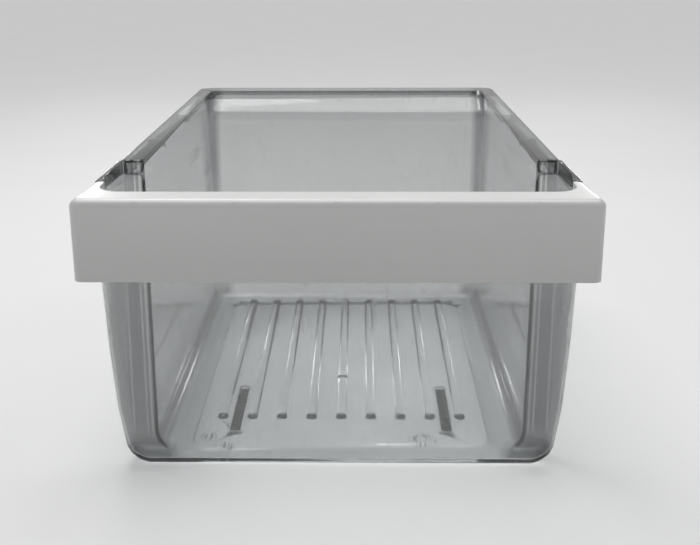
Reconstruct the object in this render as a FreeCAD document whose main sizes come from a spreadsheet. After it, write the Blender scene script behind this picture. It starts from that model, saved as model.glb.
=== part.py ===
import FreeCAD
import Part
import Sketcher
import math
import os

Vector = FreeCAD.Vector
doc = FreeCAD.newDocument("crisper_drawer")
sheet = doc.addObject("Spreadsheet::Sheet", "sizes")

# Driving sizes in millimetres. "Back" values run from the front face of the trim.
SIZES = (
    ("overall_width", 330.0, "front trim, end to end"),
    ("overall_depth", 420.0, "front of trim to back of rim"),
    ("rim_height", 205.0, "floor to top of pan rim"),
    ("wall", 2.4, "pan wall"),
    ("floor_rise", 1.6, "underside of floor panel above the resting ring"),
    ("front_rim_back", 14.6, "front wall, outside, at the rim"),
    ("front_foot_back", 45.0, "front wall, outside, at the foot"),
    ("step_rim_back", 108.4, "side step, outside, at the rim"),
    ("step_foot_back", 63.0, "side step, outside, at the foot"),
    ("shoulder_half_rim", 158.8, "half width at the front wall, at the rim"),
    ("shoulder_half_waist", 156.8, "half width at the front wall, at the waist"),
    ("shoulder_slope", 0.045, "narrowing of the shoulder towards the step, per millimetre"),
    ("waist_height", 90.0, "where the shoulder starts to curve in"),
    ("belly_radius", 500.0, "curve of the shoulder below the waist"),
    ("body_half_step_rim", 141.9, "half width behind the step, at the rim"),
    ("body_half_step_foot", 132.9, "half width behind the step, at the foot"),
    ("body_half_back_rim", 133.9, "half width at the back wall, at the rim"),
    ("body_half_back_foot", 130.9, "half width at the back wall, at the foot"),
    ("back_rim_back", 380.4, "back wall, outside, below its flare"),
    ("back_foot_back", 374.4, "back wall, outside, at the foot"),
    ("front_corner_rim", 20.0, "plan radius of the front corners at the rim"),
    ("front_corner_foot", 7.0, "plan radius of the front corners at the foot"),
    ("step_outer_radius", 5.5, "plan radius of the shoulder's back corner"),
    ("step_inner_radius", 2.0, "plan radius where the step meets the side"),
    ("back_corner_radius", 9.0, "plan radius of the back corners"),
    ("side_round", 13.4, "radius between side walls and floor"),
    ("front_round", 3.0, "radius between front wall and floor"),
    ("step_round", 5.0, "radius between step and floor"),
    ("flare_foot_drop", 30.0, "start of the back flare below the rim"),
    ("flare_radius", 18.0, "inside radius of the flare's bend"),
    ("flare_turn", 58.0, "turn of the flare's bend, degrees"),
    ("flare_reach", 25.0, "run of the whole flare"),
    ("rail_half_front", 154.6, "half width over the rails at the step"),
    ("rail_half_back", 143.4, "half width over the rails at the back"),
    ("rail_thickness", 2.3, "flange of the rail"),
    ("rail_lap", 1.7, "rail starts this far in front of the step"),
    ("skirt_depth", 10.6, "rail skirt, top to bottom"),
    ("skirt_thickness", 2.5, "rail skirt"),
    ("rail_corner", 11.0, "plan radius of the rail's back corners"),
    ("gusset_thickness", 2.0, "web under the rail"),
    ("gusset_wall_depth", 6.5, "web depth at the wall"),
    ("gusset_slope_run", 5.0, "run of the web's sloping edge"),
    ("middle_gusset_back", 181.0, "second web"),
    ("back_gusset_back", 279.0, "third web"),
    ("band_height", 10.7, "proud band round the shoulder rim"),
    ("band_proud", 1.7, "band outside the shoulder wall"),
    ("panel_half", 108.0, "half width of the raised floor panel"),
    ("panel_front_back", 66.0, "front edge of the raised floor panel"),
    ("panel_end_back", 352.0, "back edge of the raised floor panel"),
    ("bead_count", 9.0, "floor beads"),
    ("bead_pitch", 22.5, "beads, centre to centre"),
    ("bead_width", 7.4, "bead width"),
    ("bead_height", 1.2, "bead height"),
    ("bead_front_back", 110.0, "centre of the beads' front ends"),
    ("bead_length", 240.0, "bead length between end centres"),
    ("skid_half_pitch", 78.75, "skid centre from the middle"),
    ("skid_width", 12.0, "skid width outside"),
    ("skid_length", 80.0, "skid length outside"),
    ("skid_front_back", 86.0, "skid front end"),
    ("skid_floor", 1.6, "thickness below the skid pockets"),
    ("skid_wall", 2.0, "thickness beside the skid pockets"),
    ("skid_corner", 4.0, "corner radius of the skids"),
    ("panel_corner", 12.0, "corner radius of the sunken panel"),
    ("bead_root", 0.6, "depth of the beads below the floor surface"),
    ("gate_back", 181.0, "gate mark"),
    ("gate_radius", 4.5, "gate mark radius"),
    ("gate_rise", 0.8, "gate mark height"),
    ("trim_height", 53.0, "front trim, top to bottom"),
    ("trim_wall", 2.5, "front trim wall"),
    ("trim_depth", 20.8, "trim top, front to back"),
    ("trim_proud", 0.3, "trim top above the pan rim"),
    ("trim_clearance", 0.3, "fit between trim and pan"),
    ("trim_edge_round", 5.5, "outer top edge of the trim"),
    ("trim_corner", 6.0, "plan radius of the trim's front corners"),
    ("arm_reach", 48.0, "trim arms, from the front"),
    ("arm_slant_back", 10.0, "where the trim's ends start to slant in"),
    ("arm_knee_back", 26.0, "where the slanted ends turn into the arms"),
    ("arm_half_knee", 162.3, "half width over the arms at that turn"),
    ("arm_half_tip", 161.0, "half width over the arms' tips"),
    ("arm_half_inner", 152.4, "half width between the arms"),
    ("arm_inner_corner", 15.0, "plan radius between arm and bar"),
    ("arm_bend", 30.0, "plan radius of the turn"),
    ("arm_tip_round", 2.5, "plan radius of the arms' tips"),
    ("arm_foot_back", 23.0, "where the trim's full-height ends stop"),
    ("arm_height", 14.0, "trim arm, top to bottom"),
    ("arm_sweep", 22.0, "curve under the trim arm"),
    ("lip_depth", 8.0, "trim lip inside the pan"),
    ("lip_thickness", 2.0, "trim lip"),
    ("web_count", 5.0, "webs inside the trim"),
    ("web_pitch", 62.0, "webs, centre to centre"),
    ("web_thickness", 1.8, "web inside the trim"),
    ("web_depth", 16.0, "web, top to bottom"),
    ("catch_count", 3.0, "snap catches"),
    ("catch_pitch", 93.0, "snap catches, centre to centre"),
    ("catch_width", 14.0, "snap catch"),
    ("catch_height", 3.0, "snap catch"),
    ("catch_drop", 4.0, "catch below the trim's top plate"),
    ("catch_flat", 0.9, "flat end of the catch"),
    ("catch_proud", 1.7, "catch out from the lip"),
)
for row, (alias, number, note) in enumerate(SIZES, start=1):
    sheet.set("A%d" % row, str(number))
    sheet.setAlias("A%d" % row, alias)
    sheet.set("B%d" % row, note)
doc.recompute()

FRONT = "(0 - sizes.overall_depth / 2)"
FLOOR_TOP = "(sizes.floor_rise + sizes.wall)"
TRIM_TOP = "(sizes.rim_height + sizes.trim_proud)"
CATCH_TOP = "({0} - sizes.trim_wall - sizes.catch_drop)".format(TRIM_TOP)

# Where the tub's sections lie: turns round the foot in degrees, shares of the way up the curved
# belly, and shares of the back flare's turn.
FOOT_TURNS = (0, 18, 40, 64, 90)
BELLY_SHARES = (0.0, 0.4, 1.0)
FLARE_SHARES = (0.0, 0.33, 0.67, 1.0)

# Tolerance in millimetres for finding an edge by its place.
NEAR = 0.01


def value(expression):
    """Number that an expression on the sheet gives."""
    result = sheet.evalExpression(expression)
    return float(getattr(result, "Value", result))


def origin_plane(body, role):
    return next(item for item in body.Origin.OriginFeatures if item.Role == role)


def new_sketch(body, name, role, offset):
    """Empty sketch on one of the body's own planes, moved along its normal."""
    sketch = body.newObject("Sketcher::SketchObject", name)
    sketch.AttachmentSupport = (origin_plane(body, role), [""])
    sketch.MapMode = "FlatFace"
    if offset:
        sketch.setExpression("AttachmentOffset.Base.z", offset)
    return sketch


def hold(sketch, kind, places, expression):
    """Dimension that follows the sheet."""
    index = sketch.addConstraint(Sketcher.Constraint(kind, *places, value(expression)))
    sketch.setExpression("Constraints[%d]" % index, expression)


def outline(body, name, role, loops, offset=None):
    """Sketch of closed loops of corners (x, y) or (x, y, radius), all given as expressions."""
    sketch = new_sketch(body, name, role, offset)
    rounds = []
    for loop in loops:
        first = sketch.GeometryCount
        places = [Vector(value(corner[0]), value(corner[1]), 0) for corner in loop]
        for start, end in zip(places, places[1:] + places[:1]):
            sketch.addGeometry(Part.LineSegment(start, end), False)
        for number, corner in enumerate(loop):
            before = first + (number - 1) % len(loop)
            sketch.addConstraint(Sketcher.Constraint("Coincident", before, 2, first + number, 1))
            hold(sketch, "DistanceX", (-1, 1, first + number, 1), corner[0])
            hold(sketch, "DistanceY", (-1, 1, first + number, 1), corner[1])
            if len(corner) > 2:
                rounds.append((first + number, corner[2]))
    for line, radius in rounds:
        arc = sketch.GeometryCount
        sketch.fillet(line, 1, value(radius), True, True)
        hold(sketch, "Radius", (arc,), radius)
    return sketch


def mirrored(corners):
    return [("0 - (%s)" % corner[0],) + tuple(corner[1:]) for corner in reversed(corners)]


def both_sides(corners):
    """Corners of the right half followed by their mirror images."""
    return list(corners) + mirrored(corners)


def feature(body, kind, name, profile, length=None, reverse=False, midplane=False):
    """Pad or pocket of a sketch."""
    item = body.newObject("PartDesign::" + kind, name)
    item.Profile = profile
    item.Reversed = reverse
    item.SideType = "Symmetric" if midplane else "One side"
    if length:
        item.setExpression("Length", length)
    else:
        item.Type = "ThroughAll"
    doc.recompute()
    return item


def loft(body, kind, name, sketches):
    """Loft that runs straight from each sketch to the next, added or cut."""
    item = body.newObject("PartDesign::" + kind, name)
    item.Profile = sketches[0]
    item.Sections = [(sketch, [""]) for sketch in sketches[1:]]
    item.Ruled = True
    doc.recompute()


def between(foot, rim, height):
    """Size that changes evenly from the foot to the rim."""
    return "(sizes.{0} + (sizes.{1} - sizes.{0}) * ({2}) / sizes.rim_height)".format(foot, rim, height)


def drawn_in(radius, above):
    """How far a rounded foot edge lies inside its wall, at a height above the foot."""
    return "(({0}) - sqrt(({0}) ^ 2 - max(({0}) - ({1}); 0) ^ 2))".format(radius, above)


def tub_section(height, level, inset, back=None):
    """Plan outline of the tub at a height; level is the foot and inset the way in from outside."""
    above = "({0}) - {1}".format(height, level)
    side = "{0} + {1}".format(inset, drawn_in("sizes.side_round - " + inset, above))
    front_in = drawn_in("sizes.front_round - " + inset, above)
    front = "({0} + {1} + {2} + {3})".format(
        FRONT, between("front_foot_back", "front_rim_back", height), inset, front_in)
    step_in = drawn_in("sizes.step_round - " + inset, above)
    step = "({0} + {1} - {2} - {3})".format(
        FRONT, between("step_foot_back", "step_rim_back", height), inset, step_in)
    rear = back or "({0} + {1} - {2} - {3})".format(
        FRONT, between("back_foot_back", "back_rim_back", height), inset,
        drawn_in("sizes.side_round - " + inset, above))
    shoulder = ("(sizes.shoulder_half_waist"
                " + (sizes.shoulder_half_rim - sizes.shoulder_half_waist)"
                " * max(({0}) - sizes.waist_height; 0) / (sizes.rim_height - sizes.waist_height)"
                " - max(sizes.waist_height - ({0}); 0) ^ 2 / (2 * sizes.belly_radius)"
                " - ({1}))").format(height, side)
    front_corner = "{0} - {1} - {2}".format(
        between("front_corner_foot", "front_corner_rim", height), inset, front_in)
    return [
        (shoulder, front, front_corner),
        ("({0} - sizes.shoulder_slope * ({1} - {2}))".format(shoulder, step, front), step,
         "sizes.step_outer_radius - {0} - {1}".format(inset, step_in)),
        ("({0} - ({1}))".format(between("body_half_step_foot", "body_half_step_rim", height), side),
         step, "sizes.step_inner_radius + " + inset),
        ("({0} - ({1}))".format(between("body_half_back_foot", "body_half_back_rim", height), side),
         rear, "sizes.back_corner_radius - " + inset),
    ]


def tub_solid(body, kind, label, level, inset, top):
    """Tub from its rounded foot to its flared rim, added as the outside or cut as the inside."""
    def section(name, height, back=None):
        corners = both_sides(tub_section(height, level, inset, back))
        return outline(body, label + name, "XY_Plane", [corners], height)

    radius = "(sizes.side_round - {0})".format(inset)
    heights = ["({0} + {1} * (1 - cos({2} deg)))".format(level, radius, turn) for turn in FOOT_TURNS]
    foot = [section("_foot_%d" % number, height) for number, height in enumerate(heights)]
    foot_top = "({0} + {1})".format(level, radius)
    heights = ["({0} + (sizes.waist_height - {0}) * {1})".format(foot_top, share)
               for share in BELLY_SHARES]
    belly = [section("_belly_%d" % number, height) for number, height in enumerate(heights)]
    flare_foot = "(sizes.rim_height - sizes.flare_foot_drop)"
    wall = [section("_waist", "sizes.waist_height"), section("_wall_top", flare_foot)]

    # The flare turns about a line behind the back wall, then runs straight to the rim.
    flare_start = between("back_foot_back", "back_rim_back", flare_foot)
    bend = "(sizes.flare_radius + {0} - sizes.wall)".format(inset)
    centre = "({0} + {1} - sizes.wall + sizes.flare_radius)".format(FRONT, flare_start)
    flare = []
    for number, share in enumerate(FLARE_SHARES):
        turn = "(sizes.flare_turn * %.2f * 1 deg)" % share
        height = "({0} + {1} * sin({2}))".format(flare_foot, bend, turn)
        back = "({0} - {1} * cos({2}))".format(centre, bend, turn)
        flare.append(section("_flare_%d" % number, height, back))
    lip_back = "({0} + {1} + sizes.flare_reach - {2})".format(FRONT, flare_start, inset)
    lip = "({0} + ({1} - {2}) / tan(sizes.flare_turn * 1 deg))".format(height, lip_back, back)
    flare.append(section("_flare_end", lip, lip_back))
    edge = [section("_lip", lip, lip_back), section("_rim", top, lip_back)]

    loft(body, kind, label + "_foot", foot)
    loft(body, kind, label + "_belly", belly)
    loft(body, kind, label + "_wall", wall)
    loft(body, kind, label + "_flare", flare)
    loft(body, kind, label + "_edge", edge)


def rail_half(back):
    """Half width over the rails, at a distance behind the trim's front."""
    return ("(sizes.rail_half_front + (sizes.rail_half_back - sizes.rail_half_front)"
            " * (({0}) - sizes.step_rim_back) / (sizes.overall_depth - sizes.step_rim_back))").format(back)


def make_rail(body):
    """Flange with a turned-down skirt along both sides and round the back."""
    start = "sizes.step_rim_back - sizes.rail_lap"
    plate = [
        (rail_half(start), "{0} + {1}".format(FRONT, start)),
        (rail_half("sizes.overall_depth"), "{0} + sizes.overall_depth".format(FRONT), "sizes.rail_corner"),
    ]
    sketch = outline(body, "rail_outline", "XY_Plane", [both_sides(plate)], "sizes.rim_height")
    feature(body, "Pad", "rail_block", sketch, "sizes.skirt_depth", reverse=True)
    inside = [
        (rail_half("0") + " - sizes.skirt_thickness", FRONT),
        (rail_half("sizes.overall_depth") + " - sizes.skirt_thickness",
         "{0} + sizes.overall_depth - sizes.skirt_thickness".format(FRONT),
         "sizes.rail_corner - sizes.skirt_thickness"),
    ]
    sketch = outline(body, "rail_inside", "XY_Plane", [both_sides(inside)],
                     "sizes.rim_height - sizes.skirt_depth")
    feature(body, "Pocket", "rail_channel", sketch,
            "sizes.skirt_depth - sizes.rail_thickness", reverse=True)


def make_gusset(body, name, back):
    """Pair of webs that tie the skirt to the wall under the flange."""
    skirt = rail_half(back) + " - sizes.skirt_thickness * 0.5"
    slope = rail_half(back) + " - sizes.skirt_thickness"
    root = "sizes.body_half_back_rim - sizes.wall * 2"
    top = "sizes.rim_height - sizes.rail_thickness * 0.5"
    web = [
        (root, top),
        (skirt, top),
        (skirt, "sizes.rim_height - sizes.skirt_depth"),
        (slope, "sizes.rim_height - sizes.skirt_depth"),
        (slope + " - sizes.gusset_slope_run", "sizes.rim_height - sizes.gusset_wall_depth"),
        (root, "sizes.rim_height - sizes.gusset_wall_depth"),
    ]
    sketch = outline(body, name + "_shape", "XZ_Plane", [web, mirrored(web)],
                     "0 - ({0} + {1})".format(FRONT, back))
    feature(body, "Pad", name, sketch, "sizes.gusset_thickness", reverse=True)


def shoulder_half(back):
    """Half width of the shoulder wall at the rim, outside."""
    return ("(sizes.shoulder_half_rim - sizes.shoulder_slope"
            " * (({0}) - sizes.front_rim_back))").format(back)


def make_band(body):
    """Proud band round the rim of the shoulder, behind the trim's arms."""
    start = "(sizes.arm_reach + sizes.trim_clearance)"
    outer = [
        (shoulder_half(start) + " + sizes.band_proud", "{0} + {1}".format(FRONT, start)),
        (shoulder_half("sizes.step_rim_back") + " + sizes.band_proud",
         "{0} + sizes.step_rim_back".format(FRONT)),
    ]
    sketch = outline(body, "band_outline", "XY_Plane", [both_sides(outer)], "sizes.rim_height")
    feature(body, "Pad", "band", sketch, "sizes.band_height", reverse=True)


def cut_band_inside(body):
    start = "(sizes.arm_reach + sizes.trim_clearance + sizes.wall)"
    end = "(sizes.step_rim_back - sizes.wall)"
    proud = " + sizes.band_proud - sizes.wall"
    inner = [
        (shoulder_half(start) + proud, "{0} + {1}".format(FRONT, start)),
        (shoulder_half(end) + proud, "{0} + {1}".format(FRONT, end)),
    ]
    sketch = outline(body, "band_inside", "XY_Plane", [both_sides(inner)], "sizes.rim_height")
    feature(body, "Pocket", "band_recess", sketch, "sizes.band_height - sizes.wall")


def cut_trim_seat(body):
    """The rim under the trim lies lower by the trim's own thickness."""
    seat = [
        ("sizes.overall_width", FRONT + " - sizes.wall"),
        ("sizes.overall_width", FRONT + " + sizes.arm_reach + sizes.trim_clearance"),
    ]
    sketch = outline(body, "trim_seat_shape", "XY_Plane", [both_sides(seat)], "sizes.rim_height")
    feature(body, "Pocket", "trim_seat", sketch, "sizes.trim_wall - sizes.trim_proud")


def patch(centre, half_width, start, end, *radius):
    """Rectangle about a centre across, from a start to an end, with or without a corner radius."""
    left = "{0} - ({1})".format(centre, half_width)
    right = "{0} + ({1})".format(centre, half_width)
    return [(left, start, *radius), (right, start, *radius), (right, end, *radius), (left, end, *radius)]


def make_panel(body):
    """Sunken panel of the underside, so that the drawer slides on a ring and two skids."""
    panel = patch("0", "sizes.panel_half", FRONT + " + sizes.panel_front_back",
                  FRONT + " + sizes.panel_end_back", "sizes.panel_corner")
    sketch = outline(body, "panel_shape", "XY_Plane", [panel])
    feature(body, "Pocket", "panel", sketch, "sizes.floor_rise", reverse=True)
    skid = patch("sizes.skid_half_pitch", "sizes.skid_width / 2",
                 FRONT + " + sizes.skid_front_back",
                 FRONT + " + sizes.skid_front_back + sizes.skid_length", "sizes.skid_corner")
    sketch = outline(body, "skid_shape", "XY_Plane", [skid, mirrored(skid)])
    feature(body, "Pad", "skids", sketch, "sizes.floor_rise + sizes.wall * 0.5")


def cut_skid_pockets(body):
    hole = patch("sizes.skid_half_pitch", "sizes.skid_width / 2 - sizes.skid_wall",
                 FRONT + " + sizes.skid_front_back + sizes.skid_wall",
                 FRONT + " + sizes.skid_front_back + sizes.skid_length - sizes.skid_wall",
                 "sizes.skid_corner - sizes.skid_wall")
    sketch = outline(body, "skid_pocket_shape", "XY_Plane", [hole, mirrored(hole)],
                     FLOOR_TOP + " + sizes.wall")
    feature(body, "Pocket", "skid_pockets", sketch, FLOOR_TOP + " + sizes.wall - sizes.skid_floor")


def dome_section(body, name, centre, half, rise, back, whole=False):
    """Round-topped section on the floor: whole to be drawn out, or half to be turned."""
    sketch = new_sketch(body, name, "XZ_Plane", "0 - ({0} + {1})".format(FRONT, back))
    root = FLOOR_TOP + " - sizes.bead_root"
    radius = "((({0}) ^ 2 + ({1}) ^ 2) / (2 * ({1})))".format(half, rise)
    right = "{0} + {1}".format(centre, half)
    left = "{0} - {1}".format(centre, half) if whole else centre
    left_top = FLOOR_TOP if whole else "{0} + {1}".format(FLOOR_TOP, rise)
    corners = [(left, root), (right, root), (right, FLOOR_TOP), (left, left_top)]
    places = [Vector(value(across), value(up), 0) for across, up in corners]
    for start, end in ((0, 1), (1, 2), (3, 0)):
        sketch.addGeometry(Part.LineSegment(places[start], places[end]), False)
    crown = Vector(value(centre), value(FLOOR_TOP) + value(rise), 0)
    hub = crown - Vector(0, value(radius), 0)
    begin = math.atan2(places[2].y - hub.y, places[2].x - hub.x)
    end = math.pi - begin if whole else math.pi / 2
    circle = Part.Circle(hub, Vector(0, 0, 1), value(radius))
    sketch.addGeometry(Part.ArcOfCircle(circle, begin, end), False)
    for first, second in (((0, 2), (1, 1)), ((1, 2), (3, 1)), ((3, 2), (2, 1)), ((2, 2), (0, 1))):
        sketch.addConstraint(Sketcher.Constraint("Coincident", *first, *second))
    for line, (across, up) in ((0, corners[0]), (1, corners[1]), (3, corners[2]), (2, corners[3])):
        hold(sketch, "DistanceX", (-1, 1, line, 1), across)
        hold(sketch, "DistanceY", (-1, 1, line, 1), up)
    hold(sketch, "Radius", (3,), radius)
    return sketch


def dome(body, name, centre, half, rise, back):
    """Low round pip on the floor."""
    sketch = dome_section(body, name + "_section", centre, half, rise, back)
    line = Part.LineSegment(Vector(value(centre), 0, 0), Vector(value(centre), 1, 0))
    axis = sketch.addGeometry(line, True)
    hold(sketch, "DistanceX", (-1, 1, axis, 1), centre)
    hold(sketch, "DistanceX", (-1, 1, axis, 2), centre)
    hold(sketch, "DistanceY", (-1, 1, axis, 1), "0")
    hold(sketch, "DistanceY", (-1, 1, axis, 2), "1")
    turned = body.newObject("PartDesign::Revolution", name)
    turned.Profile = sketch
    turned.ReferenceAxis = (sketch, ["Axis0"])
    turned.Angle = 360
    doc.recompute()
    return turned


def make_beads(body):
    """Row of beads on the floor and the gate mark over the middle one."""
    centre = "0 - (sizes.bead_count - 1) / 2 * sizes.bead_pitch"
    half = "sizes.bead_width / 2"
    sketch = dome_section(body, "bead_section", centre, half, "sizes.bead_height",
                          "sizes.bead_front_back", whole=True)
    bead = feature(body, "Pad", "bead", sketch, "sizes.bead_length", reverse=True)
    front = dome(body, "bead_front_end", centre, half, "sizes.bead_height", "sizes.bead_front_back")
    back = dome(body, "bead_back_end", centre, half, "sizes.bead_height",
                "sizes.bead_front_back + sizes.bead_length")
    row = body.newObject("PartDesign::LinearPattern", "bead_row")
    repeat(body, row, [bead, front, back], "sizes.bead_count", "sizes.bead_pitch")
    dome(body, "gate", "0", "sizes.gate_radius", "sizes.bead_height + sizes.gate_rise", "sizes.gate_back")


def repeat(body, row, items, count, pitch):
    """Repeat features to the right at a pitch."""
    row.Originals = items
    row.Direction = (origin_plane(body, "X_Axis"), [""])
    row.setExpression("Occurrences", count)
    row.setExpression("Length", "({0} - 1) * {1}".format(count, pitch))
    body.Tip = row
    doc.recompute()


def cut_windows(body):
    """Windows in the front wall that take the trim's catches."""
    start = "0 - (sizes.catch_count - 1) / 2 * sizes.catch_pitch"
    window = patch(start, "sizes.catch_width / 2 + sizes.trim_clearance",
                   CATCH_TOP + " + sizes.trim_clearance",
                   CATCH_TOP + " - sizes.catch_height - sizes.trim_clearance")
    sketch = outline(body, "window_shape", "XZ_Plane", [window], "0 - " + FRONT)
    hole = feature(body, "Pocket", "window", sketch, "sizes.front_rim_back + 3 * sizes.wall")
    row = body.newObject("PartDesign::LinearPattern", "window_row")
    repeat(body, row, [hole], "sizes.catch_count", "sizes.catch_pitch")


def trim_outline(inset, corner, end):
    """Right half of the trim's plan outline, drawn in by an inset."""
    return [
        ("sizes.overall_width / 2 - {0}".format(inset), "{0} + {1}".format(FRONT, inset), corner),
        ("sizes.overall_width / 2 - {0}".format(inset), FRONT + " + sizes.arm_slant_back",
         "sizes.arm_bend"),
        ("sizes.arm_half_knee - {0}".format(inset), FRONT + " + sizes.arm_knee_back", "sizes.arm_bend"),
        ("sizes.arm_half_tip - {0}".format(inset), "{0} + {1}".format(FRONT, end)),
    ]


def edges_where(shape, test):
    """Names of a shape's edges that pass a test on their box and middle."""
    return ["Edge%d" % number for number, edge in enumerate(shape.Edges, start=1)
            if test(edge.BoundBox, edge.CenterOfMass)]


def rounded(body, name, edges, radius):
    base = body.Tip
    soft = body.newObject("PartDesign::Fillet", name)
    soft.Base = (base, edges)
    soft.setExpression("Radius", radius)
    doc.recompute()


def make_trim(body):
    """Front trim: a hollow bar that hooks over the front wall, with an arm over each shoulder."""
    corners = trim_outline("0", "sizes.trim_corner", "sizes.arm_reach")
    sketch = outline(body, "trim_plan", "XY_Plane", [both_sides(corners)], TRIM_TOP)
    feature(body, "Pad", "trim_block", sketch, "sizes.trim_height", reverse=True)
    inner = [
        ("sizes.arm_half_inner", FRONT + " + sizes.trim_depth", "sizes.arm_inner_corner"),
        ("sizes.arm_half_inner", FRONT + " + sizes.arm_reach + sizes.trim_depth"),
    ]
    sketch = outline(body, "trim_opening", "XY_Plane", [both_sides(inner)], TRIM_TOP)
    feature(body, "Pocket", "trim_mouth", sketch)

    level = value(TRIM_TOP) - NEAR
    tip = value(FRONT + " + sizes.arm_reach") - NEAR
    half = value("sizes.arm_half_inner") + NEAR
    front = value(FRONT + " + sizes.trim_wall")
    rounded(body, "trim_edge", edges_where(
        body.Shape, lambda box, middle: box.ZMin > level and box.YMin < tip
        and (abs(middle.x) > half or middle.y < front)), "sizes.trim_edge_round")
    arm = value("sizes.arm_height")
    rounded(body, "arm_tip_corners", edges_where(
        body.Shape, lambda box, middle: box.YMin > tip and box.XLength < NEAR and box.ZLength > arm),
        "sizes.arm_tip_round")

    foot = "{0} - sizes.trim_height".format(TRIM_TOP)
    below = "{0} - sizes.arm_height".format(TRIM_TOP)
    beyond = FRONT + " + sizes.arm_reach + sizes.trim_depth"
    sweep = [
        (FRONT + " + sizes.arm_foot_back", foot + " - sizes.trim_wall"),
        (beyond, foot + " - sizes.trim_wall"),
        (beyond, below),
        (FRONT + " + sizes.arm_foot_back", below, "sizes.arm_sweep"),
    ]
    sketch = outline(body, "arm_sweep_shape", "YZ_Plane", [sweep])
    feature(body, "Pocket", "arm_sweep", sketch, midplane=True)

    skin = trim_outline("sizes.trim_wall", "sizes.trim_corner - sizes.trim_wall",
                        "sizes.arm_reach + sizes.trim_depth")
    sketch = outline(body, "trim_hollow_shape", "XY_Plane", [both_sides(skin)], foot)
    feature(body, "Pocket", "trim_hollow", sketch,
            "sizes.trim_height - sizes.trim_wall - sizes.lip_depth", reverse=True)
    lip_half = "sizes.arm_half_inner + sizes.lip_thickness"
    channel = skin + [
        (lip_half, FRONT + " + sizes.arm_reach + sizes.trim_depth"),
        (lip_half, FRONT + " + sizes.trim_depth - sizes.lip_thickness",
         "sizes.arm_inner_corner + sizes.lip_thickness"),
    ]
    sketch = outline(body, "trim_channel_shape", "XY_Plane", [both_sides(channel)],
                     "{0} - sizes.trim_wall - sizes.lip_depth".format(TRIM_TOP))
    feature(body, "Pocket", "trim_channel", sketch, "sizes.lip_depth", reverse=True)

    plate = TRIM_TOP + " - sizes.trim_wall * 0.5"
    web = [
        (FRONT + " + sizes.trim_wall * 0.5", plate),
        (FRONT + " + sizes.front_rim_back - sizes.trim_clearance", plate),
        (FRONT + " + sizes.front_rim_back - sizes.trim_clearance", plate + " - sizes.web_depth"),
        (FRONT + " + sizes.trim_wall * 0.5", plate + " - sizes.web_depth"),
    ]
    first = "0 - (sizes.web_count - 1) / 2 * sizes.web_pitch"
    sketch = outline(body, "web_shape", "YZ_Plane", [web], first)
    web = feature(body, "Pad", "web", sketch, "sizes.web_thickness", midplane=True)
    row = body.newObject("PartDesign::LinearPattern", "web_row")
    repeat(body, row, [web], "sizes.web_count", "sizes.web_pitch")

    lip_front = FRONT + " + sizes.trim_depth - sizes.lip_thickness"
    catch = [
        (lip_front + " + sizes.lip_thickness * 0.5", CATCH_TOP),
        (lip_front + " - sizes.catch_proud", CATCH_TOP),
        (lip_front + " - sizes.catch_proud", CATCH_TOP + " - sizes.catch_flat"),
        (lip_front, CATCH_TOP + " - sizes.catch_height"),
        (lip_front + " + sizes.lip_thickness * 0.5", CATCH_TOP + " - sizes.catch_height"),
    ]
    first = "0 - (sizes.catch_count - 1) / 2 * sizes.catch_pitch"
    sketch = outline(body, "catch_shape", "YZ_Plane", [catch], first)
    catch = feature(body, "Pad", "catch", sketch, "sizes.catch_width", midplane=True)
    row = body.newObject("PartDesign::LinearPattern", "catch_row")
    repeat(body, row, [catch], "sizes.catch_count", "sizes.catch_pitch")


def make_pan(body):
    """Clear pan: stepped tub with rails, sunken underside, ribbed floor and snap windows."""
    make_rail(body)
    tub_solid(body, "AdditiveLoft", "outside", "0", "0", "sizes.rim_height")
    make_gusset(body, "front_gusset", "sizes.step_rim_back - sizes.rail_lap")
    make_gusset(body, "middle_gusset", "sizes.middle_gusset_back")
    make_gusset(body, "back_gusset", "sizes.back_gusset_back")
    make_band(body)
    make_panel(body)
    tub_solid(body, "SubtractiveLoft", "inside", FLOOR_TOP, "sizes.wall", "(sizes.rim_height + sizes.wall)")
    cut_band_inside(body)
    cut_trim_seat(body)
    cut_windows(body)
    cut_skid_pockets(body)
    make_beads(body)


pan = doc.addObject("PartDesign::Body", "pan")
make_pan(pan)
front_trim = doc.addObject("PartDesign::Body", "front_trim")
make_trim(front_trim)
doc.recompute()

for item in doc.Objects:
    if "Invalid" in item.State or "Error" in item.State:
        raise SystemExit("failed: %s %s" % (item.Name, item.State))

os.makedirs("parts", exist_ok=True)
for body in (pan, front_trim):
    if body.Shape.isNull() or not body.Shape.isValid():
        raise SystemExit("bad shape: " + body.Name)
    body.Shape.exportStep("parts/%s.step" % body.Label)
    print(body.Label, len(body.Shape.Solids), "solid", round(body.Shape.Volume), "mm3")
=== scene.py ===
import math
from functools import reduce

import bmesh
import bpy
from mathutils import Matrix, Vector


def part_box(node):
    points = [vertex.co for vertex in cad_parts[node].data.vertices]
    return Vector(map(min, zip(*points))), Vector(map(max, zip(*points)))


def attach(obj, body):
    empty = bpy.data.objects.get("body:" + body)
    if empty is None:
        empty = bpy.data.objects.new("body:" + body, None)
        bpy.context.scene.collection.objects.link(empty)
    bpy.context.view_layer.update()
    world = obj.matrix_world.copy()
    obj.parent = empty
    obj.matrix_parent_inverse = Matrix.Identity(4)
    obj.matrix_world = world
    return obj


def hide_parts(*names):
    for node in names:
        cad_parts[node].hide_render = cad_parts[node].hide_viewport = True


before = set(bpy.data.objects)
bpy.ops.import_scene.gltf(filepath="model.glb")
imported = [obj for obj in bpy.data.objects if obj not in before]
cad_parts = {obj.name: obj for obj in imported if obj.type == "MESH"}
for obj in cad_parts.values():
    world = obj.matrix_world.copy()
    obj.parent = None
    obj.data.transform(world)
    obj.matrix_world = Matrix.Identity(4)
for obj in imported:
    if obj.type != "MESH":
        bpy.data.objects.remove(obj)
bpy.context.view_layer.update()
scene = bpy.context.scene

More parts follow.
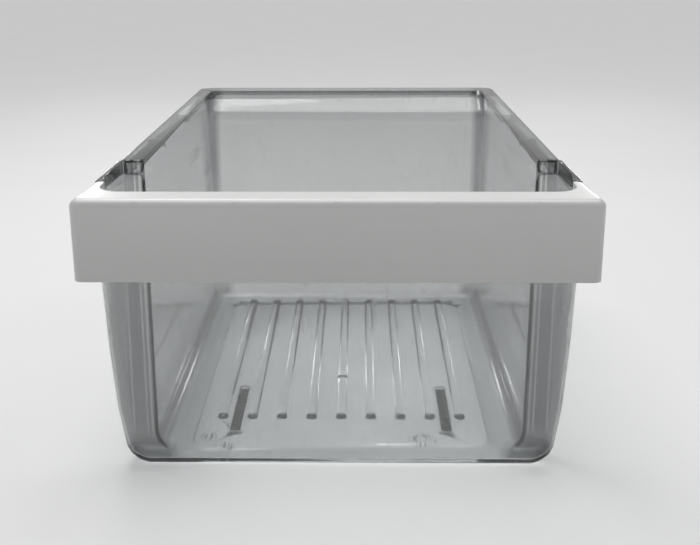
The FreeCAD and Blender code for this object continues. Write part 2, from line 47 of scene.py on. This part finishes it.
trim_low, trim_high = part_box("front_trim")
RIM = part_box("pan")[1][2]

# The pan's floor, in metres: its top and the beads, whose ends are places to the back.
FLOOR_TOP = 0.0040
BEAD_COUNT = 9
BEAD_PITCH = 0.0225
BEAD_ENDS = (-0.100, 0.140)

# Round pips at both ends of each bead: half width, height and depth in the floor.
PIP_HALF = 0.0041
PIP_RISE = 0.0034
PIP_ROOT = 0.0008
PIP_SEGMENTS = 28
PIP_RINGS = 20

# The pan's painted shade and its scratches keep to its parts, by edges. An edge is a pair: its place,
# and the width that they fade over there.
#
# The pair of skid pockets in the floor, where mottled dark shade is painted: centre and half size, both
# across and back. Their outline is an edge in shares of the half size.
POCKET_CENTRE = (0.07875, -0.084)
POCKET_HALF = (0.0042, 0.0382)
POCKET_OUTLINE = (1.0, 0.04)
POCKET_TOP = (0.0036, 0.0004)

# The rounded edge between floor and sides, and the rounded corners at the back, where shade is painted.
ROUND_FOOT = (FLOOR_TOP + 0.0014, 0.0014)
ROUND_TOP = (0.0155, 0.010)
ROUND_INNER = (0.1150, 0.010)
CORNER_SIDE = (0.1235, 0.006)
CORNER_BACK = (0.1600, 0.006)

# The side walls and the back wall, where shade is painted.
SIDE_WALL = (0.1255, 0.010)
BACK_WALL = (0.1570, 0.010)

# The step of the side walls, at the foot and at the rim: its place to the back, and how far out the
# wall behind it stands. The painted shade's inner edge and the painted highlight lines up the step's
# corners are counted outwards from that wall.
STEP_BACK = (-0.1470, -0.1016)
STEP_SIDE = (0.1329, 0.1419)
STEP_HALF = (0.0045, 0.002)
STEP_INNER = (-0.0015, 0.001)
STEP_FOOT = (0.016, 0.012)
STEP_HIGHLIGHT_LINES = (0.0010, 0.0042, 0.0140)
LINE_HALF = (0.0006, 0.0005)

# The webs under each rail, where shade is painted: their places to the back, and the edges of their
# thickness, foot, top and root in the wall.
WEBS_BACK = (-0.1023, -0.0280, 0.0700)
WEB_HALF = (0.0013, 0.0003)
WEB_FOOT = (0.190, 0.001)
WEB_TOP = (0.2025, 0.0002)
WEB_ROOT = (0.1376, 0.0004)

# Scratched spots on the floor: across, back and radius, with their outline in shares of the squared
# radius, and how the noise that makes the scratches is drawn out and turned.
SCUFFS = ((-0.099, -0.130, 0.010), (-0.084, -0.146, 0.009), (0.060, -0.135, 0.012))
SCUFF_OUTLINE = (0.8, 0.5)
SCUFF_TOP = (FLOOR_TOP + 0.0005, 0.0004)
SCRATCH_SCALE = (900.0, 90.0, 90.0)
SCRATCH_TURN = (0.0, 0.0, 0.35)

# Radius that sharp edges are softened to in shading, and the angle from which an edge is sharp.
EDGE = 0.0006
SHARP = math.radians(32)

# Index of refraction of both plastics.
PLASTIC_IOR = 1.5

# Colours of the clear pan: two that clouds blend, painted shade on its walls, rounded edges, step and
# webs, the tint of its scratches, and mottled painted shade in its skid pockets. Depth takes the last
# two: a colour and a density per metre.
CLEAR_COLOURS = ((0.82, 0.825, 0.83, 1.0), (0.92, 0.925, 0.925, 1.0))
WALL_PAINTED_SHADE = (0.60, 0.605, 0.61, 1.0)
CORNER_PAINTED_SHADE = (0.30, 0.305, 0.31, 1.0)
STEP_PAINTED_SHADE = (0.36, 0.365, 0.37, 1.0)
WEB_PAINTED_SHADE = (0.40, 0.405, 0.41, 1.0)
SCUFF_TINT = (0.26, 0.26, 0.26, 1.0)
POCKET_PAINTED_SHADES = ((0.01, 0.01, 0.01, 1.0), (0.16, 0.16, 0.16, 1.0))
DEPTH_COLOUR = (0.50, 0.52, 0.52, 1.0)
DEPTH_DENSITY = 135.0

# What the pan leaves of the lamps' light.
LAMP_TINT = (0.94, 0.945, 0.945, 1.0)

# Colours of the trim: two that mottling blends, and the painted shade towards its lower edge.
TRIM_COLOURS = ((0.70, 0.70, 0.695, 1.0), (0.80, 0.80, 0.795, 1.0))
TRIM_PAINTED_SHADE = (0.55, 0.55, 0.545, 1.0)

PAPER_COLOURS = ((0.80, 0.80, 0.80, 1.0), (0.83, 0.83, 0.83, 1.0))

# The floor lies just below the part, so that no two faces fall together.
FLOOR_GAP = 0.0004
FLOOR_HALF = 60.0

# Brightness of the backdrop near the floor and overhead, with the heights of the change, and of the
# even light round the part.
HORIZON = 0.58
ZENITH = 0.04
BACKDROP_FADE = (0.24, 0.50)
SKY = 0.25

# The camera: lens by its focal length in pixels of the photograph's width, place, downward tilt,
# roll and turn in radians, and shifts in widths of the picture.
SENSOR = 36.0
PHOTO_WIDTH = 700.0
FOCAL_PIXELS = 1041.1289
CAMERA_PLACE = (0.0148049, -0.819418, 0.3749035)
CAMERA_TILT = 0.2833
CAMERA_ROLL = 0.0035
CAMERA_TURN = 0.0143
CAMERA_SHIFT = (0.0065, -0.085)


class Field:
    """A shader socket that takes part in Python expressions."""

    def __init__(self, board, socket):
        self.board = board
        self.socket = socket

    def math(self, operation, other=0.0, swapped=False, clamp=False):
        first, second = (other, self) if swapped else (self, other)
        return self.board.node(
            "ShaderNodeMath", {"operation": operation, "use_clamp": clamp}, {0: first, 1: second})

    def __add__(self, other):
        return self.math("ADD", other)

    def __radd__(self, other):
        return self.math("ADD", other, swapped=True)

    def __sub__(self, other):
        return self.math("SUBTRACT", other)

    def __rsub__(self, other):
        return self.math("SUBTRACT", other, swapped=True)

    def __mul__(self, other):
        return self.math("MULTIPLY", other)

    def __rmul__(self, other):
        return self.math("MULTIPLY", other, swapped=True)

    def __truediv__(self, other):
        return self.math("DIVIDE", other)

    def __pow__(self, other):
        return self.math("POWER", other)

    def __abs__(self):
        return self.math("ABSOLUTE")

    def either(self, other):
        """The larger of two values."""
        return self.math("MAXIMUM", other)

    def within(self):
        """The value, held between 0 and 1."""
        return self.math("ADD", clamp=True)

    def above(self, edge, soft):
        """0 below an edge and 1 above it, with a soft change."""
        return ((self - edge) / soft + 0.5).within()

    def below(self, edge, soft):
        """1 below an edge and 0 above it, with a soft change."""
        return 1.0 - self.above(edge, soft)

    def near(self, centre, half, soft):
        """1 within half a width of a centre and 0 beyond, with a soft change."""
        return abs(self - centre).below(half, soft)


class Board:
    """A node tree that grows by expressions."""

    def __init__(self, tree):
        self.tree = tree
        tree.nodes.clear()

    def node(self, kind, settings=None, inputs=None, output=0):
        """Add a node: its settings first, then the values or links of its sockets."""
        node = self.tree.nodes.new(kind)
        for key, value in (settings or {}).items():
            if key == "stops":
                ramp = node.color_ramp
                while len(ramp.elements) < len(value):
                    ramp.elements.new(1.0)
                for element, (position, shade) in zip(ramp.elements, value):
                    element.position = position
                    element.color = (shade, shade, shade, 1.0)
            else:
                setattr(node, key, value)
        for key, value in (inputs or {}).items():
            self.feed(node.inputs[key], value)
        return Field(self, node.outputs[output])

    def feed(self, socket, value):
        """Link a field to a socket, or set the socket to a constant."""
        if isinstance(value, Field):
            self.tree.links.new(value.socket, socket)
        else:
            socket.default_value = value

    def ramp(self, value, *stops):
        """A value spread over greys, by stops of a place and a shade."""
        return self.node("ShaderNodeValToRGB", {"stops": stops}, {"Fac": value})

    def blend(self, share, first, second):
        """One colour that turns into another."""
        settings = {"data_type": "RGBA"}
        return self.node("ShaderNodeMix", settings, {0: share, 6: first, 7: second}, output=2)

    def ray(self, kind):
        """1 for rays of a kind and 0 for others."""
        return self.node("ShaderNodeLightPath", output=kind)

    def mixed(self, share, first, second):
        """One shader that turns into another."""
        return self.node("ShaderNodeMixShader", {}, {0: share, 1: first, 2: second})


class Finish(Board):
    """A node material built around one Principled shader."""

    def __init__(self, name):
        self.material = bpy.data.materials.new(name)
        self.material.use_nodes = True
        super().__init__(self.material.node_tree)
        self.output = self.tree.nodes.new("ShaderNodeOutputMaterial")
        self.shader = self.tree.nodes.new("ShaderNodeBsdfPrincipled")
        self.tree.links.new(self.shader.outputs[0], self.output.inputs["Surface"])
        self.place = self.node("ShaderNodeTexCoord", output="Object")
        split = self.node("ShaderNodeSeparateXYZ", {}, {0: self.place}).socket.node
        self.across, self.back, self.up = (Field(self, socket) for socket in split.outputs)

    def stretched(self, scale, turn=(0.0, 0.0, 0.0)):
        """Object coordinates, scaled and turned, that a texture can be drawn out by."""
        inputs = {"Vector": self.place, "Scale": scale, "Rotation": turn}
        return self.node("ShaderNodeMapping", {}, inputs)

    def noise(self, scale, detail=3.0, roughness=0.5, vector=None):
        """Cloudy noise, per metre of the object's own coordinates or of those given."""
        inputs = {"Scale": scale, "Detail": detail, "Roughness": roughness}
        return self.node("ShaderNodeTexNoise", {}, {"Vector": vector or self.place, **inputs})

    def set(self, **values):
        """Set or link the Principled shader's sockets, named with _ for each space."""
        for name, value in values.items():
            self.feed(self.shader.inputs[name.replace("_", " ")], value)

    def darken_with_depth(self, colour, density):
        """The longer the way through the plastic, the darker: edges and bends read as lines."""
        volume = self.node("ShaderNodeVolumeAbsorption", {}, {"Color": colour, "Density": density})
        self.feed(self.output.inputs["Volume"], volume)

    def let_lamps_through(self, tint):
        """Rays to the lamps pass the plastic, tinted, so that its shadow stays light."""
        clear = self.node("ShaderNodeBsdfTransparent", {}, {"Color": tint})
        surface = self.mixed(self.ray("Is Shadow Ray"), Field(self, self.shader.outputs[0]), clear)
        self.feed(self.output.inputs["Surface"], surface)

    def bump(self, height, strength, distance):
        """Bumpy normals, over edges that a bevel has softened."""
        soft_edges = self.node("ShaderNodeBevel", {"samples": 4}, {"Radius": EDGE})
        inputs = {"Height": height, "Strength": strength, "Distance": distance, "Normal": soft_edges}
        return self.node("ShaderNodeBump", {}, inputs, output="Normal")


class PanFinish(Finish):
    """A material that knows the pan's parts: each method is 1 on what it names and 0 elsewhere."""

    def __init__(self, name):
        super().__init__(name)
        self.outward = abs(self.across)

    def skid_pockets(self):
        """The pair of slots in the floor, left and right of the middle."""
        beside = abs(self.outward - POCKET_CENTRE[0]) / POCKET_HALF[0]
        along = abs(self.back - POCKET_CENTRE[1]) / POCKET_HALF[1]
        return beside.either(along).below(*POCKET_OUTLINE) * self.up.below(*POCKET_TOP)

    def corner_shade(self):
        """Where shade is painted: the rounded edges between floor and sides, and the back corners."""
        low_shade = self.up.above(*ROUND_FOOT) * self.up.below(*ROUND_TOP) * self.outward.above(*ROUND_INNER)
        return low_shade.either(self.outward.above(*CORNER_SIDE) * self.back.above(*CORNER_BACK))

    def wall_shade(self):
        """Where shade is painted: the side walls with their rails and the back wall, but not the front
        wall.
        """
        walls = self.outward.above(*SIDE_WALL).either(self.back.above(*BACK_WALL))
        return walls * self.up.above(*ROUND_TOP)

    def step_shade(self):
        """Where shade is painted: the step of the side walls, but for painted highlight lines along its
        corners.
        """
        share = self.up / RIM
        plane = STEP_BACK[0] + (STEP_BACK[1] - STEP_BACK[0]) * share
        beyond = self.outward - STEP_SIDE[0] - (STEP_SIDE[1] - STEP_SIDE[0]) * share
        # The lines are painted highlights: the painted shade leaves them out.
        lines = reduce(Field.either, [beyond.near(place, *LINE_HALF) for place in STEP_HIGHLIGHT_LINES])
        face = self.back.near(plane, *STEP_HALF) * beyond.above(*STEP_INNER) * self.up.above(*STEP_FOOT)
        return face * (1.0 - lines)

    def webs(self):
        """Where shade is painted: the three webs under each rail."""
        webs = reduce(Field.either, [self.back.near(back, *WEB_HALF) for back in WEBS_BACK])
        under = self.up.above(*WEB_FOOT) * self.up.below(*WEB_TOP)
        return webs * under * self.outward.above(*WEB_ROOT)

    def scuffs(self):
        """Short slanting scratches in a few spots on the floor."""
        noise = self.noise(scale=1.0, detail=2.0, vector=self.stretched(SCRATCH_SCALE, SCRATCH_TURN))
        scratches = self.ramp(noise, (0.54, 0.0), (0.60, 1.0))
        spots = []
        for across, back, reach in SCUFFS:
            far = (self.across - across) ** 2.0 + (self.back - back) ** 2.0
            spots.append((far / reach ** 2).below(*SCUFF_OUTLINE))
        return scratches * reduce(Field.either, spots) * self.up.below(*SCUFF_TOP)


def clear_plastic():
    """Clear moulded plastic, hazed and scuffed by use, with soft moulding waves and shade painted on
    parts.
    """
    finish = PanFinish("clear_plastic")
    lengthwise = finish.stretched((1.0, 0.12, 1.0))
    slanting = finish.stretched((1.0, 0.03, 0.4), (0.2, 0.1, 0.5))
    cloud = finish.noise(scale=16.0, detail=4.0, roughness=0.55)
    haze = finish.ramp(cloud, (0.45, 0.0), (0.75, 1.0))
    rub = finish.noise(scale=420.0, detail=4.0, roughness=0.6, vector=lengthwise)
    hair = finish.ramp(finish.noise(scale=260.0, detail=2.0, vector=slanting), (0.60, 0.0), (0.66, 1.0))
    mottle = finish.ramp(finish.noise(scale=650.0, roughness=0.6), (0.38, 0.0), (0.66, 1.0))
    scuffs = finish.scuffs()
    pockets = finish.skid_pockets()
    shade = finish.blend(cloud, *CLEAR_COLOURS)
    # Shade is painted on walls, corners, step, webs and skid pockets; the scratches keep their own
    # tint.
    for share, tint in (
        # painted shade on the side and back walls
        (finish.wall_shade() * 0.6, WALL_PAINTED_SHADE),
        # painted shade in the rounded edges and back corners
        (finish.corner_shade() * (0.75 + 0.25 * haze), CORNER_PAINTED_SHADE),
        # painted shade on the step, with painted highlight lines left out
        (finish.step_shade() * (0.8 + 0.2 * haze), STEP_PAINTED_SHADE),
        # painted shade on the webs
        (finish.webs(), WEB_PAINTED_SHADE),
        (scuffs + hair * 0.08, SCUFF_TINT),
        # mottled painted shade in the skid pockets
        (pockets, finish.blend(mottle, *POCKET_PAINTED_SHADES)),
    ):
        shade = finish.blend(share, shade, tint)
    finish.set(
        Base_Color=shade,
        Roughness=(0.02 + 0.05 * haze + 0.08 * hair + 0.25 * pockets + 0.3 * scuffs).within(),
        Normal=finish.bump(cloud + rub * 0.02 + hair * 0.02, strength=0.05, distance=0.002),
        Transmission_Weight=0.93,
        IOR=PLASTIC_IOR,
    )
    finish.darken_with_depth(DEPTH_COLOUR, DEPTH_DENSITY)
    finish.let_lamps_through(LAMP_TINT)
    return finish.material


def pale_plastic():
    """Pale satin plastic of the trim: mottling, fine grain, rubbing marks and shade painted low down.
    """
    finish = Finish("pale_plastic")
    mottle = finish.noise(scale=22.0, detail=5.0, roughness=0.6)
    grain = finish.noise(scale=1800.0, detail=2.0)
    streak = finish.noise(scale=120.0, roughness=0.6, vector=finish.stretched((0.05, 1.0, 1.0)))
    # painted shade, growing towards the trim's lower edge
    low_shade = ((trim_high[2] - finish.up) / (trim_high[2] - trim_low[2])).within()
    shade = finish.blend(mottle * 0.5 + streak * 0.3 + grain * 0.2, *TRIM_COLOURS)
    finish.set(
        Base_Color=finish.blend(low_shade * 0.5, shade, TRIM_PAINTED_SHADE),
        Roughness=0.26 + 0.14 * mottle + 0.06 * streak,
        Normal=finish.bump(grain * 0.6 + mottle * 0.4, strength=0.10, distance=0.0004),
        Coat_Weight=0.12,
        Coat_Roughness=0.15,
        IOR=PLASTIC_IOR,
    )
    return finish.material


def floor_paper():
    """Matt pale paper, barely clouded."""
    finish = Finish("floor_paper")
    shade = finish.blend(finish.noise(scale=9.0), *PAPER_COLOURS)
    finish.set(Base_Color=shade, Roughness=1.0, Specular_IOR_Level=0.1)
    return finish.material


def to_mesh(shape, name):
    """Turn a bmesh into a mesh, and free it."""
    mesh = bpy.data.meshes.new(name)
    shape.to_mesh(mesh)
    shape.free()
    return mesh


def placed(name, data):
    """A new object in the scene."""
    item = bpy.data.objects.new(name, data)
    scene.collection.objects.link(item)
    return item


def make_pips():
    """Round pips at both ends of the floor's beads, to be joined with the pan."""
    shape = bmesh.new()
    for number in range(BEAD_COUNT):
        across = (number - (BEAD_COUNT - 1) / 2) * BEAD_PITCH
        for back in BEAD_ENDS:
            ball = bmesh.ops.create_uvsphere(
                shape, u_segments=PIP_SEGMENTS, v_segments=PIP_RINGS, radius=1.0)["verts"]
            bmesh.ops.scale(shape, verts=ball, vec=(PIP_HALF, PIP_HALF, PIP_RISE))
            bmesh.ops.translate(shape, verts=ball, vec=(across, back, FLOOR_TOP))
    whole = shape.verts[:] + shape.edges[:] + shape.faces[:]
    cut = bmesh.ops.bisect_plane(
        shape, geom=whole, plane_co=(0.0, 0.0, FLOOR_TOP - PIP_ROOT), plane_no=(0.0, 0.0, 1.0),
        clear_inner=True)["geom_cut"]
    rims = [item for item in cut if isinstance(item, bmesh.types.BMEdge)]
    bmesh.ops.holes_fill(shape, edges=rims, sides=0)
    bmesh.ops.recalc_face_normals(shape, faces=shape.faces)
    return to_mesh(shape, "pips")


def joined(mesh, added):
    """Union of two closed meshes."""
    base = placed("base", mesh)
    extra = placed("extra", added)
    union = base.modifiers.new("union", "BOOLEAN")
    union.operation = "UNION"
    union.solver = "EXACT"
    union.object = extra
    bpy.context.view_layer.update()
    evaluated = base.evaluated_get(bpy.context.evaluated_depsgraph_get())
    whole = bpy.data.meshes.new_from_object(evaluated)
    for item in (base, extra):
        bpy.data.objects.remove(item)
    return whole


def smooth_copy(name, node, material, added=None):
    """A welded, smooth-shaded stand-in for a CAD node, with more shape joined to it."""
    shape = bmesh.new()
    shape.from_mesh(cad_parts[node].data)
    bmesh.ops.remove_doubles(shape, verts=shape.verts, dist=0.00001)
    mesh = to_mesh(shape, name)
    if added:
        mesh = joined(mesh, added)
    mesh.name = name
    mesh.materials.append(material)
    piece = placed(name, mesh)
    mesh.shade_smooth()
    mesh.set_sharp_from_angle(angle=SHARP)
    flat = piece.modifiers.new("flat_faces_stay_flat", "WEIGHTED_NORMAL")
    flat.keep_sharp = True
    flat.weight = 50
    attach(piece, "root")
    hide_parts(node)


def floor():
    """Wide pale floor, just below the part."""
    shape = bmesh.new()
    bmesh.ops.create_grid(shape, x_segments=1, y_segments=1, size=FLOOR_HALF)
    bmesh.ops.translate(shape, verts=shape.verts, vec=(0.0, 0.0, -FLOOR_GAP))
    mesh = to_mesh(shape, "floor")
    mesh.materials.append(floor_paper())
    placed("floor", mesh)


def backdrop():
    """A pale backdrop that clear plastic shows too, and an even sky for the light."""
    world = bpy.data.worlds.new("studio")
    scene.world = world
    world.use_nodes = True
    sky = Board(world.node_tree)
    kinds = ("Is Camera Ray", "Is Glossy Ray", "Is Transmission Ray")
    seen = reduce(Field.either, [sky.ray(kind) for kind in kinds])
    direction = sky.node("ShaderNodeTexCoord", output="Generated")
    height = sky.node("ShaderNodeSeparateXYZ", {}, {0: direction}, output=2)
    start, end = BACKDROP_FADE
    shown = sky.ramp(height, (0.0, HORIZON), (start, HORIZON), (end, ZENITH))
    picture = sky.node("ShaderNodeBackground", {}, {"Color": shown, "Strength": 1.0})
    light = sky.node("ShaderNodeBackground", {}, {"Color": (1.0, 1.0, 1.0, 1.0), "Strength": SKY})
    output = sky.tree.nodes.new("ShaderNodeOutputWorld")
    sky.feed(output.inputs["Surface"], sky.mixed(seen, light, picture))


def lamp(name, place, aim, size, power, spread=180.0):
    """A soft rectangular lamp; a smaller spread in degrees keeps its light off the floor round it."""
    data = bpy.data.lights.new(name, "AREA")
    data.shape = "RECTANGLE"
    data.size, data.size_y = size
    data.spread = math.radians(spread)
    data.energy = power
    light = placed(name, data)
    light.location = place
    light.visible_camera = False
    light.rotation_euler = (Vector(aim) - Vector(place)).to_track_quat("-Z", "Y").to_euler()


def sun(name, toward, spread, strength):
    """Even light from one direction, softened by its spread in degrees."""
    data = bpy.data.lights.new(name, "SUN")
    data.angle = math.radians(spread)
    data.energy = strength
    placed(name, data).rotation_euler = (-Vector(toward)).to_track_quat("-Z", "Y").to_euler()


def camera():
    """The photograph's view, with as much shift as keeps the other views in the picture."""
    data = bpy.data.cameras.new("camera")
    data.sensor_width = SENSOR
    data.lens = SENSOR * FOCAL_PIXELS / PHOTO_WIDTH
    data.shift_x, data.shift_y = CAMERA_SHIFT
    data.clip_start = 0.02
    eye = placed("camera", data)
    eye.location = CAMERA_PLACE
    eye.rotation_euler = (math.radians(90.0) - CAMERA_TILT, CAMERA_ROLL, CAMERA_TURN)
    scene.camera = eye


smooth_copy("pan_moulding", "pan", clear_plastic(), make_pips())
smooth_copy("trim_moulding", "front_trim", pale_plastic())

floor()
backdrop()
sun("room", toward=(-0.15, 0.25, 1.0), spread=50.0, strength=1.5)
lamp("key", (-0.30, 0.50, 1.10), aim=(0.0, 0.0, 0.1), size=(0.40, 0.30), power=3.0)
lamp("fill", (0.45, -0.10, 1.15), aim=(0.0, 0.0, 0.1), size=(0.40, 0.40), power=1.2)
lamp("sparkle", (0.10, 0.90, 1.30), aim=(0.0, 0.0, 0.0), size=(0.10, 0.10), power=0.8)
for name, place in (("left_strip", (-0.78, 1.95, 0.48)), ("right_strip", (0.78, 1.95, 0.48))):
    lamp(name, place, aim=(0.0, 0.0, 0.05), size=(0.12, 0.20), power=0.20, spread=50.0)
camera()

scene.view_settings.view_transform = "Standard"
